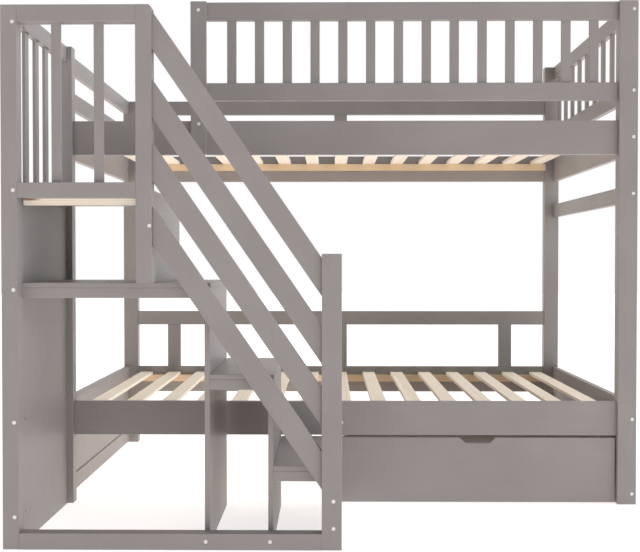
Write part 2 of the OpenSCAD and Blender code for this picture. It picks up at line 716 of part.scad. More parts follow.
module slat_row(rail_top) {
  color(pine) for (x = slat_x)
    board(around(x, slat_w), slat_y, [slat_z(rail_top), slat_z(rail_top) + slat_t]);
}

module lower_slats() { slat_row(lower_rail_top); }
module upper_slats() { slat_row(upper_rail_top); }

module centre_bearer() {
  color(pine) board(bearer_span, inner_y, bearer_z);
}

frame_y = [stair_front, frame_back];

module stair_left_stile() {
  color(paint) board([stair_left, stile_right], frame_y, [0, stair_top]);
}

module stair_right_stile() {
  color(paint) board([stile2_left, riser_face], frame_y, [tread_z[2], stair_top])
    translate([riser_face, stair_front - out, stair_top]) rotate([0, 45, 0])
      cube([stile_chamfer * sqrt(2), 2 * (frame_t + 2 * out), stile_chamfer * sqrt(2)], center = true);
}

module stair_baluster(x, fit) {
  block(widened(around(x, stair_baluster_w), fit), widened(around(frame_mid, baluster_t), fit),
    widened([mid_rail_top, top_rail_z], mortise_d - peg_fit + fit));
}

module stair_top_rail() {
  color(paint) board([stile_right, stile2_left], frame_y, [top_rail_z, stair_top])
    for (x = stair_baluster_x) stair_baluster(x, peg_fit);
}

module stair_middle_rail() {
  color(paint) board([stile_right, stile2_left], frame_y, [mid_rail_z, mid_rail_top])
    for (x = stair_baluster_x) stair_baluster(x, peg_fit);
}

module stair_base_rail() {
  color(paint) board([stile_right, newel_left], frame_y, [0, base_rail_h]);
}

module newel_post() {
  color(paint) board([newel_left, newel_right], frame_y, [0, newel_h]);
}

module side_baluster(y, fit) {
  block(widened(around(side_mid, baluster_t), fit), widened(around(y, baluster_w), fit),
    widened([mid_rail_top, side_top_z], mortise_d - peg_fit + fit));
}

module stair_side_rails() {
  color(paint) for (z = [[mid_rail_z, mid_rail_top], [side_top_z, stair_top]])
    board(side_rail_x, stair_y, z)
      for (y = side_baluster_y) side_baluster(y, peg_fit);
}

module stair_balusters() {
  color(paint) {
    for (x = stair_baluster_x) stair_baluster(x, 0);
    for (y = side_baluster_y) side_baluster(y, 0);
  }
}

module handrail_boards() {
  color(paint) for (down = handrail_down)
    difference() {
      translate([0, frame_mid + handrail_t / 2, -down]) rotate([90, 0, 0]) linear_extrude(handrail_t)
        polygon([[riser_face, handrail_at_stile], [riser_face, handrail_at_stile - handrail_v],
          [newel_left, handrail_at_newel - handrail_v], [newel_left, handrail_at_newel]]);
      for (d = handrail_dowels) dowel_bore(d);
    }
}

module tread(x, top) {
  color(paint) board(x, stair_y, [top - tread_t, top]);
}

module treads() {
  tread([short_face, newel_panel_face + nosing], tread_z[0]);
  tread([tall_face, short_face + nosing], tread_z[1]);
  tread([side_panel_x[1], tall_face + nosing], tread_z[2]);
}

module tread_aprons() {
  color(paint) for (i = [0:2])
    board(apron_spans[i], [frame_back, frame_back + panel_t],
      [tread_z[i] - tread_t - apron_h, tread_z[i] - tread_t]);
}

module platform_board() {
  color(paint) board([side_rail_x[1], riser_face], stair_y, [platform_z - platform_t, platform_z]);
}

module stair_side_panel() {
  color(paint) board(side_panel_x, stair_y, [0, mid_rail_z]);
}

module inner_panel(face, z) {
  color(paint) board([face - panel_t, face], panel_y, z);
}

module tall_divider() { inner_panel(tall_face, [0, tread_z[2] - tread_t]); }
module short_divider() { inner_panel(short_face, [0, tread_z[1] - tread_t]); }
module newel_panel() { inner_panel(newel_panel_face, [0, tread_z[0] - tread_t]); }
module riser_panel() { inner_panel(riser_face, [tread_z[2], platform_z - platform_t]); }

// The hand notch: a trapezium with round lower corners, open at the top
module notch_outline() {
  half_low = notch_low_w / 2;
  half_top = notch_top_w / 2;
  lean = atan2(notch_d, half_top - half_low);
  round_x = half_low - notch_r * tan(lean / 2);
  corner = [round_x + notch_r * sin(lean), notch_r * (1 - cos(lean))];
  grow = out / tan(lean);
  polygon([[-round_x, 0], [round_x, 0], corner, [half_top + grow, notch_d + out],
    [-half_top - grow, notch_d + out], [-corner[0], corner[1]]]);
  for (x = [-round_x, round_x]) translate([x, notch_r]) circle(r = notch_r);
}

module drawer_bottom_shape(fit) {
  block(widened(bottom_x, -peg_fit + fit), widened(bottom_y, -peg_fit + fit), widened(bottom_z, fit));
}

module drawer_screw_bores() {
  for (s = DRAWER_SCREWS) screw_shape(s, peg_fit);
}

module drawer_front() {
  color(paint) difference() {
    block(drawer_x, drawer_front_y, drawer_z);
    translate([mid(drawer_x), drawer_front_y[1] + out, drawer_z[1] - notch_d]) rotate([90, 0, 0])
      linear_extrude(drawer_front_t + 2 * out) notch_outline();
    drawer_bottom_shape(peg_fit);
    for (at = drawer_peg_at) drawer_peg(at, peg_fit);
  }
}

module drawer_peg(at, fit) {
  translate([at.x, at.y - short_dowel_in - fit, at.z]) aim(along_y)
    cylinder(h = 2 * (short_dowel_in + fit), d = peg_d + 2 * fit);
}

module drawer_sides() {
  color(paint) for (x = [[drawer_outer[0], drawer_inner[0]], [drawer_inner[1], drawer_outer[1]]])
    difference() {
      block(x, [drawer_front_y[1], drawer_y[1]], drawer_side_h);
      drawer_bottom_shape(peg_fit);
      drawer_screw_bores();
      for (at = drawer_peg_at) drawer_peg(at, peg_fit);
    }
}

module drawer_back() {
  color(paint) difference() {
    block(drawer_inner, drawer_back_y, drawer_side_h);
    drawer_bottom_shape(peg_fit);
    drawer_screw_bores();
  }
}

module caster_screw(at, fit) {
  translate([at.x, at.y, bottom_z[0] - bracket_t]) {
    translate([0, 0, -caster_screw_head_h]) cylinder(h = caster_screw_head_h, d = caster_screw_head_d);
    cylinder(h = caster_screw_l + fit, d = caster_screw_d + 2 * fit);
  }
}

caster_screw_at = [for (x = wheel_x, y = wheel_y, i = [-1, 1], j = [-1, 1])
  [x + i * bracket_screw_x, y + j * bracket_screw_y]];

module drawer_bottom() {
  color(paint) difference() {
    drawer_bottom_shape(0);
    for (at = caster_screw_at) caster_screw(at, peg_fit);
  }
}

module caster_bracket(x, y) {
  ear_margin = 6;
  ear_r = axle_d / 2 + ear_margin;
  difference() {
    union() {
      block(around(x, bracket_w), around(y, bracket_l), [bottom_z[0] - bracket_t, bottom_z[0]]);
      for (side = [-1, 1]) {
        ear = side < 0 ? [x - ear_out, x - ear_in] : [x + ear_in, x + ear_out];
        block(ear, around(y, 2 * ear_r), [wheel_d / 2, bottom_z[0] - bracket_t]);
        translate([ear[0], y, wheel_d / 2]) aim(along_x) cylinder(h = bracket_t, r = ear_r);
      }
    }
    translate([x - ear_out - out, y, wheel_d / 2]) aim(along_x)
      cylinder(h = 2 * (ear_out + out), d = axle_d + 2 * axle_fit);
    for (at = caster_screw_at) caster_screw(at, peg_fit);
  }
}

module caster_brackets() {
  color(steel) for (x = wheel_x, y = wheel_y) caster_bracket(x, y);
}

module caster_axles() {
  head_h = 1.5;
  head_d = axle_d + 4;
  color(steel) for (x = wheel_x, y = wheel_y)
    translate([x, y, wheel_d / 2]) aim(along_x) {
      translate([0, 0, -ear_out]) cylinder(h = 2 * ear_out, d = axle_d);
      for (z = [-ear_out - head_h, ear_out])
        translate([0, 0, z]) cylinder(h = head_h, d = head_d);
    }
}

module wheel(x, y) {
  bore_r = axle_d / 2 + axle_fit;
  half = wheel_w / 2;
  edge = 2;
  boss_r = bore_r + 3;
  rim_r = wheel_d * 0.32;
  recess = 2.5;
  color(wheel_grey) translate([x, y, wheel_d / 2]) aim(along_x)
    rotate_extrude($fn = 64)
      polygon([[bore_r, -half], [boss_r, -half], [boss_r, -half + recess], [rim_r, -half + recess],
        [rim_r, -half], [wheel_d / 2 - edge, -half], [wheel_d / 2, -half + edge],
        [wheel_d / 2, half - edge], [wheel_d / 2 - edge, half], [rim_r, half],
        [rim_r, half - recess], [boss_r, half - recess], [boss_r, half], [bore_r, half]]);
}

module front_left_wheel() { wheel(wheel_x[0], wheel_y[0]); }
module front_right_wheel() { wheel(wheel_x[1], wheel_y[0]); }
module rear_left_wheel() { wheel(wheel_x[0], wheel_y[1]); }
module rear_right_wheel() { wheel(wheel_x[1], wheel_y[1]); }

module frame_bolts() {
  socket_d = 4.6;
  socket_depth = 2;
  color(steel) for (b = BOLTS)
    translate(b[0]) aim(b[1]) difference() {
      union() {
        cylinder(h = bolt_head_h, d = bolt_head_d);
        cylinder(h = b[2], d = bolt_d);
      }
      translate([0, 0, -out]) cylinder(h = socket_depth + out, d = socket_d, $fn = 6);
    }
}

module barrel_nuts() {
  color(steel) for (b = BOLTS)
    difference() {
      translate(nut_at(b) - b[5] / 2 * b[4]) aim(b[4]) cylinder(h = b[5], d = nut_d);
      translate(b[0]) aim(b[1]) cylinder(h = b[2] + 2 * nut_d, d = bolt_d + 2 * peg_fit);
    }
}

module wood_dowels() {
  color(pine) for (d = DOWELS)
    translate(d[0] - d[2] * d[1]) aim(d[1]) cylinder(h = 2 * d[2], d = dowel_d);
}

module wood_screws() {
  color(steel) for (s = SCREWS) screw_shape(s, 0);
}

module drawer_screws() {
  color(steel) {
    for (s = DRAWER_SCREWS) screw_shape(s, 0);
    for (at = caster_screw_at) caster_screw(at, 0);
  }
}

module drawer_dowels() {
  color(pine) for (at = drawer_peg_at) drawer_peg(at, 0);
}

to_origin() front_left_post();
to_origin() front_right_post();
to_origin() rear_left_post();
to_origin() rear_right_post();
to_origin() lower_front_rail();
to_origin() lower_rear_rail();
to_origin() upper_front_rail();
to_origin() upper_rear_rail();
to_origin() bottom_end_rails();
to_origin() lower_end_rails();
to_origin() upper_end_rails();
to_origin() middle_end_rail();
to_origin() end_panels();
to_origin() left_guard_rails();
to_origin() right_guard_rails();
to_origin() right_guard_balusters();
to_origin() front_guard_post();
to_origin() front_guard_top_rail();
to_origin() front_guard_lower_rail();
to_origin() front_guard_balusters();
to_origin() rear_guard_rail();
to_origin() lower_guard_rail();
to_origin() rear_guard_uprights();
to_origin() support_cleats();
to_origin() lower_slats();
to_origin() upper_slats();
to_origin() centre_bearer();
to_origin() stair_left_stile();
to_origin() stair_right_stile();
to_origin() stair_top_rail();
to_origin() stair_middle_rail();
to_origin() stair_base_rail();
to_origin() newel_post();
to_origin() stair_side_rails();
to_origin() stair_balusters();
to_origin() handrail_boards();
to_origin() treads();
to_origin() tread_aprons();
to_origin() platform_board();
to_origin() stair_side_panel();
to_origin() tall_divider();
to_origin() short_divider();
to_origin() newel_panel();
to_origin() riser_panel();
to_origin() drawer_front();
to_origin() drawer_sides();
to_origin() drawer_back();
to_origin() drawer_bottom();
to_origin() caster_brackets();
to_origin() caster_axles();
to_origin() front_left_wheel();
to_origin() front_right_wheel();
to_origin() rear_left_wheel();
to_origin() rear_right_wheel();
to_origin() frame_bolts();
to_origin() barrel_nuts();
to_origin() wood_dowels();
to_origin() wood_screws();
to_origin() drawer_screws();
to_origin() drawer_dowels();
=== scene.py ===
# %% [markdown]
# # A bunk bed with a staircase and a drawer
#
# The real bed is planed pine: posts, rails and boards under a satin grey paint, with bare
# slats in both bunks. The measured solids are loaded first. They give every place and
# size, so nothing here is fitted by eye. What the cells below add is what solids lack:
# edges that a router has eased, grain, hardware with its sockets, and light.

# %% Load the measured bed
import json
import math

import bpy
import numpy as np
from mathutils import Matrix, Vector


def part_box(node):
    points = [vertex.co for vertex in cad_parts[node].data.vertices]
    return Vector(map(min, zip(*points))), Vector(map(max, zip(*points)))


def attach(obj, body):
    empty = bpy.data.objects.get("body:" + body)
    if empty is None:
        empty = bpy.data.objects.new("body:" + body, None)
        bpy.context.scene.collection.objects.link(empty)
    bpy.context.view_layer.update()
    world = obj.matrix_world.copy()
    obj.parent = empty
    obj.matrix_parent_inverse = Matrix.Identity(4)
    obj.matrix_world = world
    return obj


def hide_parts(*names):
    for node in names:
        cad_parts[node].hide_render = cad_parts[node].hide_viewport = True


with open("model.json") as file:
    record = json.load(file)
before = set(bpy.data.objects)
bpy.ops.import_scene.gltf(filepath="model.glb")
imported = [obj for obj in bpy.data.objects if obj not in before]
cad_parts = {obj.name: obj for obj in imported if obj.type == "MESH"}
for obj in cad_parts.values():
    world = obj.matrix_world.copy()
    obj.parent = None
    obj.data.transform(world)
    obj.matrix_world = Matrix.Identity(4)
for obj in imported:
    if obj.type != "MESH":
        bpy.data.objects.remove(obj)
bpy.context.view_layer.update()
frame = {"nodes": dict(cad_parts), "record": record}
nodes = frame["nodes"]
slot_of = {s["node"]: s["material_slot"] for s in frame["record"]["subparts"]}
body_of = {n: b for b, members in frame["record"]["behaviour"]["bodies"].items() for n in members}

# %% [markdown]
# ## The camera
#
# The photograph was taken from about eye height of a sitting person, a little left of the
# bed's middle and square to its front. A camera's view is set by four things: where it
# stands, where it looks, how long its lens is, and how wide its sensor is. Verticals stay
# upright here because the camera looks almost level.

# %% Place the camera
LENS_MM = 49.76
SENSOR_MM = 36
CAMERA_AT = (-0.0553, -3.3263, 0.8323)
TURNED_LEFT = 0.0097
LOOKS_DOWN = 0.01575

camera_data = bpy.data.cameras.new("camera")
camera_data.lens = LENS_MM
camera_data.sensor_width = SENSOR_MM
camera = bpy.data.objects.new("camera", camera_data)
bpy.context.scene.collection.objects.link(camera)
camera.location = CAMERA_AT
camera.rotation_euler = (math.pi / 2 - LOOKS_DOWN, 0, TURNED_LEFT)
bpy.context.scene.camera = camera
print("camera stands at", CAMERA_AT)

# %% [markdown]
# ## A white studio
#
# The picture has a white floor that runs into a white wall. Brightening the lamps until
# the floor turns white would bleach the paint too. Light Path tells a shader whether the
# camera or a mirror-like surface is looking. Those see a white room, and the bed is lit by
# a plainer one: a bright wall at the right, a ceiling that is brightest towards the back, a
# dim wall behind and a floor that glows softly. The floor still takes the bed's shadow.

# %% Helpers for objects and node trees
def alone(piece):
    """Selects one object and nothing else, so that an operator acts on it only."""
    bpy.ops.object.select_all(action="DESELECT")
    piece.select_set(True)
    bpy.context.view_layer.objects.active = piece


def link(tree, start, end):
    """Joins an output socket to an input socket."""
    tree.links.new(start, end)


def node(tree, kind, **settings):
    """Adds a shader node and sets its plain properties."""
    made = tree.nodes.new(kind)
    for name, value in settings.items():
        setattr(made, name, value)
    return made


def seen_directly(tree):
    """1 where the camera, a reflection or glass looks at the surface, else 0."""
    path = node(tree, "ShaderNodeLightPath")
    first = node(tree, "ShaderNodeMath", operation="MAXIMUM")
    link(tree, path.outputs["Is Camera Ray"], first.inputs[0])
    link(tree, path.outputs["Is Glossy Ray"], first.inputs[1])
    second = node(tree, "ShaderNodeMath", operation="MAXIMUM")
    link(tree, first.outputs[0], second.inputs[0])
    link(tree, path.outputs["Is Transmission Ray"], second.inputs[1])
    return second.outputs[0]


# %% The walls of the studio
ALL_ROUND = (0.01, 0.01, 0.01)
CEILING = ((0, 0.55, 0.835), (0.90, 0.775, 0.735))
RIGHT_WALL = ((1, 0, 0), (0.97, 1.11, 1.22))
BACK_WALL = ((0, 1, 0), (0.42, 0.32, 0.28))
WHITE = (1, 1, 1, 1)


def wall(tree, look, side, colour):
    """Light that is strongest straight from one side and gone a quarter turn away."""
    facing = node(tree, "ShaderNodeVectorMath", operation="DOT_PRODUCT")
    link(tree, look, facing.inputs[0])
    facing.inputs[1].default_value = side
    kept = node(tree, "ShaderNodeMath", operation="MAXIMUM")
    link(tree, facing.outputs["Value"], kept.inputs[0])
    kept.inputs[1].default_value = 0
    lit = node(tree, "ShaderNodeVectorMath", operation="SCALE")
    lit.inputs[0].default_value = colour
    link(tree, kept.outputs[0], lit.inputs["Scale"])
    return lit.outputs[0]


bpy.context.scene.view_settings.view_transform = "Standard"
world = bpy.data.worlds.new("studio")
bpy.context.scene.world = world
world.use_nodes = True
sky = world.node_tree
sky.nodes.clear()
look = node(sky, "ShaderNodeTexCoord").outputs["Generated"]
walls = node(sky, "ShaderNodeVectorMath", operation="ADD")
link(sky, wall(sky, look, *RIGHT_WALL), walls.inputs[0])
link(sky, wall(sky, look, *BACK_WALL), walls.inputs[1])
whole = node(sky, "ShaderNodeVectorMath", operation="ADD")
link(sky, walls.outputs[0], whole.inputs[0])
whole.inputs[1].default_value = ALL_ROUND
lit_room = node(sky, "ShaderNodeVectorMath", operation="ADD")
link(sky, whole.outputs[0], lit_room.inputs[0])
link(sky, wall(sky, look, *CEILING), lit_room.inputs[1])
room = node(sky, "ShaderNodeBackground")
link(sky, lit_room.outputs[0], room.inputs["Color"])
white = node(sky, "ShaderNodeBackground")
white.inputs["Color"].default_value = WHITE
choose = node(sky, "ShaderNodeMixShader")
link(sky, seen_directly(sky), choose.inputs["Fac"])
link(sky, room.outputs[0], choose.inputs[1])
link(sky, white.outputs[0], choose.inputs[2])
sky_out = node(sky, "ShaderNodeOutputWorld")
link(sky, choose.outputs[0], sky_out.inputs["Surface"])
print("walls lit", RIGHT_WALL, BACK_WALL)

# %% The floor
FLOOR_SIZE = 40
FLOOR_GREY = 0.8
FLOOR_GLOW = (0.90, 0.80, 0.775)
FLOOR_SEEN = 0.68

bpy.ops.object.select_all(action="DESELECT")
bpy.ops.mesh.primitive_plane_add(size=FLOOR_SIZE, location=(0, 0, 0))
floor = bpy.context.object
floor.name = "studio_floor"
paper = bpy.data.materials.new("white_paper")
paper.use_nodes = True
tree = paper.node_tree
tree.nodes.clear()
matt = node(tree, "ShaderNodeBsdfDiffuse")
matt.inputs["Color"].default_value = (FLOOR_GREY, FLOOR_GREY, FLOOR_GREY, 1)
glow = node(tree, "ShaderNodeEmission")
glow.inputs["Color"].default_value = (*FLOOR_GLOW, 1)
seen = node(tree, "ShaderNodeEmission")
seen.inputs["Color"].default_value = (FLOOR_SEEN, FLOOR_SEEN, FLOOR_SEEN, 1)
choice = node(tree, "ShaderNodeMixShader")
link(tree, seen_directly(tree), choice.inputs["Fac"])
link(tree, glow.outputs[0], choice.inputs[1])
link(tree, seen.outputs[0], choice.inputs[2])
both = node(tree, "ShaderNodeAddShader")
link(tree, matt.outputs[0], both.inputs[0])
link(tree, choice.outputs[0], both.inputs[1])
out = node(tree, "ShaderNodeOutputMaterial")
link(tree, both.outputs[0], out.inputs["Surface"])
floor.data.materials.append(paper)
print("floor laid")

# %% [markdown]
# ## The lamp
#
# Surfaces that face right are the palest in the photograph, so one large soft lamp stands
# at the right, a little in front. It only strengthens the bright wall there. A lamp that is
# wide and far away gives shadows without a hard edge.

# %% Hang the lamp
def lamp(name, place, target, size, watts):
    """A square soft lamp that looks at a point of the bed."""
    data = bpy.data.lights.new(name, "AREA")
    data.shape = "SQUARE"
    data.size = size
    data.energy = watts
    made = bpy.data.objects.new(name, data)
    bpy.context.scene.collection.objects.link(made)
    made.location = place
    made.rotation_euler = (Vector(target) - Vector(place)).to_track_quat("-Z", "Y").to_euler()
    return made


BED_MIDDLE = (0, 0, 0.8)
LAMP_AT = (6.0, -2.4, 2.2)
LAMP_SIZE = 3.0
LAMP_WATTS = 14
lamp("right_lamp", LAMP_AT, BED_MIDDLE, LAMP_SIZE, LAMP_WATTS)
print("lamp hung")

# %% [markdown]
# ## Which way the grain runs
#
# Grain follows a board's length, and no two boards share a pattern. One colour over the
# whole bed in world coordinates would run straight through every joint. Instead each
# separate board gets its own coordinates in an attribute called grain: metres along the
# board, across it and through it, moved on by a random amount for each board.

# %% Find the separate boards of a mesh
def part_labels(mesh):
    """For each vertex, the lowest vertex number of the separate solid it belongs to."""
    ends = np.empty(2 * len(mesh.edges), np.int64)
    mesh.edges.foreach_get("vertices", ends)
    a, b = ends.reshape(-1, 2).T
    label = np.arange(len(mesh.vertices))
    while True:
        lower = np.minimum(label[a], label[b])
        fresh = label.copy()
        np.minimum.at(fresh, a, lower)
        np.minimum.at(fresh, b, lower)
        fresh = fresh[fresh]
        if np.array_equal(fresh, label):
            return label
        label = fresh


def points(mesh):
    """The vertices of a mesh as rows of x, y and z."""
    co = np.empty(3 * len(mesh.vertices))
    mesh.vertices.foreach_get("co", co)
    return co.reshape(-1, 3)


# %% Give each board its own grain coordinates
GRAIN_SEED = 7
FARTHEST_SHIFT = 20
chance = np.random.default_rng(GRAIN_SEED)


def lay_grain(piece, along=None):
    """Writes the grain attribute; along is the boards' direction if it isn't an axis."""
    mesh = piece.data
    co, label = points(mesh), part_labels(mesh)
    grain = np.zeros_like(co)
    for part in np.unique(label):
        mine = label == part
        local = co[mine] - co[mine].mean(0)
        if along is None:
            order = np.argsort(-np.ptp(local, axis=0), kind="stable")
            local = local[:, order]
        else:
            u = np.array(along)
            v = np.array([0.0, 1.0, 0.0])
            local = np.stack([local @ u, local @ np.cross(u, v), local @ v], 1)
        grain[mine] = local + chance.uniform(-FARTHEST_SHIFT, FARTHEST_SHIFT, 3)
    written = mesh.attributes.new("grain", "FLOAT_VECTOR", "POINT")
    written.data.foreach_set("vector", grain.ravel())


# %% [markdown]
# ## Materials
#
# The paint is satin and thin: close up, the fibres of the pine still show as fine ridges,
# and the tone drifts slowly from board to board. The slats are bare pine, with pale and
# dark growth lines, brown knots and a dry surface. Both use the same fibre pattern, so it
# is one node group with its own inputs.

# %% Node group: wood fibre
FIBRE_DETAIL, FIBRE_ROUGHNESS = 3, 0.6
DRIFT_SCALE, DRIFT_DETAIL = 5, 2


def group_socket(group, name, way, kind, value=None):
    """Adds a socket to a node group."""
    made = group.interface.new_socket(name=name, in_out=way, socket_type=kind)
    if value is not None:
        made.default_value = value


def fibre_group():
    """Long fine streaks: a noise that is stretched along the board."""
    group = bpy.data.node_groups.new("wood_fibre", "ShaderNodeTree")
    group_socket(group, "Grain", "INPUT", "NodeSocketVector")
    group_socket(group, "Fineness", "INPUT", "NodeSocketFloat", 300)
    group_socket(group, "Length", "INPUT", "NodeSocketFloat", 0.03)
    group_socket(group, "Fibre", "OUTPUT", "NodeSocketFloat")
    group_socket(group, "Drift", "OUTPUT", "NodeSocketFloat")
    inside = node(group, "NodeGroupInput")
    outside = node(group, "NodeGroupOutput")
    stretch = node(group, "ShaderNodeCombineXYZ")
    link(group, inside.outputs["Length"], stretch.inputs["X"])
    stretch.inputs["Y"].default_value = 1
    stretch.inputs["Z"].default_value = 1
    along = node(group, "ShaderNodeVectorMath", operation="MULTIPLY")
    link(group, inside.outputs["Grain"], along.inputs[0])
    link(group, stretch.outputs[0], along.inputs[1])
    fine = node(group, "ShaderNodeTexNoise")
    fine.inputs["Detail"].default_value = FIBRE_DETAIL
    fine.inputs["Roughness"].default_value = FIBRE_ROUGHNESS
    link(group, along.outputs[0], fine.inputs["Vector"])
    link(group, inside.outputs["Fineness"], fine.inputs["Scale"])
    slow = node(group, "ShaderNodeTexNoise")
    slow.inputs["Scale"].default_value = DRIFT_SCALE
    slow.inputs["Detail"].default_value = DRIFT_DETAIL
    link(group, inside.outputs["Grain"], slow.inputs["Vector"])
    link(group, fine.outputs["Fac"], outside.inputs["Fibre"])
    link(group, slow.outputs["Fac"], outside.inputs["Drift"])
    return group


wood_fibre = fibre_group()
print("made", wood_fibre.name)

# %% Helpers for the materials
MOST_NOISE = (0.3, 0.7)
THIN_FIBRES = (0.35, 0.6)
STREAK_SHARE = 0.10
FIBRE_LENGTH = 0.02
FIBRE_HEIGHT = 0.0004


def material(name, slot):
    """An empty material with one Principled shader, and the tree it is in."""
    made = bpy.data.materials.new(name)
    made.use_nodes = True
    tree = made.node_tree
    tree.nodes.clear()
    shader = node(tree, "ShaderNodeBsdfPrincipled")
    out = node(tree, "ShaderNodeOutputMaterial")
    link(tree, shader.outputs[0], out.inputs["Surface"])
    made["finish"] = slot
    return made, tree, shader


def spread(tree, value, low, high, to_low, to_high):
    """Maps a value from one range to another."""
    made = node(tree, "ShaderNodeMapRange")
    link(tree, value, made.inputs["Value"])
    made.inputs["From Min"].default_value = low
    made.inputs["From Max"].default_value = high
    made.inputs["To Min"].default_value = to_low
    made.inputs["To Max"].default_value = to_high
    return made.outputs["Result"]


def mixed(tree, mask, first, second):
    """Mixes two colours by a mask; each is a colour or a socket."""
    made = node(tree, "ShaderNodeMix", data_type="RGBA")
    ends = [s for s in made.inputs if s.type == "RGBA"]
    link(tree, mask, made.inputs["Factor"])
    for end, colour in zip(ends, (first, second)):
        if isinstance(colour, bpy.types.NodeSocket):
            link(tree, colour, end)
        else:
            end.default_value = (*colour, 1)
    return [s for s in made.outputs if s.type == "RGBA"][0]


def grain_of(tree):
    """The board's own coordinates."""
    return node(tree, "ShaderNodeAttribute", attribute_name="grain").outputs["Vector"]


def fibres(tree, grain, fineness, length):
    """The fibre group, wired to a board's coordinates."""
    made = node(tree, "ShaderNodeGroup", node_tree=wood_fibre)
    link(tree, grain, made.inputs["Grain"])
    made.inputs["Fineness"].default_value = fineness
    made.inputs["Length"].default_value = length
    return made.outputs["Fibre"], made.outputs["Drift"]


def bump(tree, height, strength, distance, shader):
    """Turns a height into small ridges on the surface."""
    made = node(tree, "ShaderNodeBump")
    made.inputs["Strength"].default_value = strength
    made.inputs["Distance"].default_value = distance
    link(tree, height, made.inputs["Height"])
    link(tree, made.outputs["Normal"], shader.inputs["Normal"])


# %% Grey satin paint on pine
DULL_GREY, CLEAR_GREY = (0.335, 0.320, 0.311), (0.365, 0.349, 0.339)
GREY_STREAK = (0.235, 0.213, 0.202)
PAINT_FINENESS = 420
PAINT_ROUGHNESS = (0.47, 0.39)
PAINT_SHINE = 0.22
PAINT_BUMP = 0.25


def grey_paint():
    """Thin warm grey paint: fibres as faint ridges, and a slow drift of tone."""
    made, tree, shader = material("grey_paint", "grey_paint")
    grain = grain_of(tree)
    fibre, drift = fibres(tree, grain, PAINT_FINENESS, FIBRE_LENGTH)
    tone = mixed(tree, spread(tree, drift, *MOST_NOISE, 0, 1), DULL_GREY, CLEAR_GREY)
    thin = spread(tree, fibre, *THIN_FIBRES, STREAK_SHARE, 0)
    link(tree, mixed(tree, thin, tone, GREY_STREAK), shader.inputs["Base Color"])
    rough = spread(tree, fibre, *MOST_NOISE, *PAINT_ROUGHNESS)
    link(tree, rough, shader.inputs["Roughness"])
    shader.inputs["Specular IOR Level"].default_value = PAINT_SHINE
    bump(tree, fibre, PAINT_BUMP, FIBRE_HEIGHT, shader)
    return made


# %% Bare pine
PALE, PALER = (0.97, 0.92, 0.77), (1.0, 0.97, 0.84)
AMBER, HONEY = (0.80, 0.61, 0.40), (0.86, 0.68, 0.46)
GROWTH_LINE, PINE_STREAK, KNOT = (0.74, 0.57, 0.38), (0.64, 0.49, 0.33), (0.30, 0.16, 0.08)
PINE_FINENESS = 500
PINE_ROUGHNESS = (0.68, 0.55)
PINE_BUMP = 0.3
RING_STRETCH = (0.035, 1, 0.6)
RING_SCALE, RING_WAVER, RING_DETAIL, RING_DETAIL_SCALE = 32, 3.5, 2, 0.5
LINE_FROM, LINE_SHARE = 0.55, 0.24
KNOT_CELLS = (2.0, 12, 12)
KNOT_EDGE = (0.035, 0.08)


def bare_pine(name, dull, bright):
    """Pale pine: growth lines round a far-off pith, fibres and a few knots."""
    made, tree, shader = material(name, "pine")
    grain = grain_of(tree)
    fibre, drift = fibres(tree, grain, PINE_FINENESS, FIBRE_LENGTH)
    stretch = node(tree, "ShaderNodeMapping")
    stretch.inputs["Scale"].default_value = RING_STRETCH
    link(tree, grain, stretch.inputs["Vector"])
    rings = node(tree, "ShaderNodeTexWave", wave_type="RINGS", rings_direction="X")
    rings.inputs["Scale"].default_value = RING_SCALE
    rings.inputs["Distortion"].default_value = RING_WAVER
    rings.inputs["Detail"].default_value = RING_DETAIL
    rings.inputs["Detail Scale"].default_value = RING_DETAIL_SCALE
    link(tree, stretch.outputs[0], rings.inputs["Vector"])
    pale = mixed(tree, spread(tree, drift, *MOST_NOISE, 0, 1), dull, bright)
    dark_rings = spread(tree, rings.outputs["Fac"], LINE_FROM, 1, 0, LINE_SHARE)
    lines = mixed(tree, dark_rings, pale, GROWTH_LINE)
    thin = spread(tree, fibre, *THIN_FIBRES, STREAK_SHARE, 0)
    streak = mixed(tree, thin, lines, PINE_STREAK)
    cells = node(tree, "ShaderNodeMapping")
    cells.inputs["Scale"].default_value = KNOT_CELLS
    link(tree, grain, cells.inputs["Vector"])
    knots = node(tree, "ShaderNodeTexVoronoi")
    knots.inputs["Scale"].default_value = 1
    link(tree, cells.outputs[0], knots.inputs["Vector"])
    knot = spread(tree, knots.outputs["Distance"], *KNOT_EDGE, 1, 0)
    link(tree, mixed(tree, knot, streak, KNOT), shader.inputs["Base Color"])
    rough = spread(tree, fibre, *MOST_NOISE, *PINE_ROUGHNESS)
    link(tree, rough, shader.inputs["Roughness"])
    bump(tree, fibre, PINE_BUMP, FIBRE_HEIGHT, shader)
    return made


# %% Zinc-plated steel and the wheels' plastic
DULL_ZINC, BRIGHT_ZINC = (0.72, 0.72, 0.71), (0.84, 0.84, 0.83)
ZINC_PATCHES = 350
ZINC_ROUGHNESS = (0.42, 0.28)
ZINC_METAL = 0.85
DARK_PLASTIC, PALER_PLASTIC = (0.018, 0.018, 0.020), (0.032, 0.032, 0.035)
MOULD_GRAIN = 900
PLASTIC_ROUGHNESS = (0.55, 0.42)
PLASTIC_BUMP, PLASTIC_HEIGHT = 0.3, 0.0002


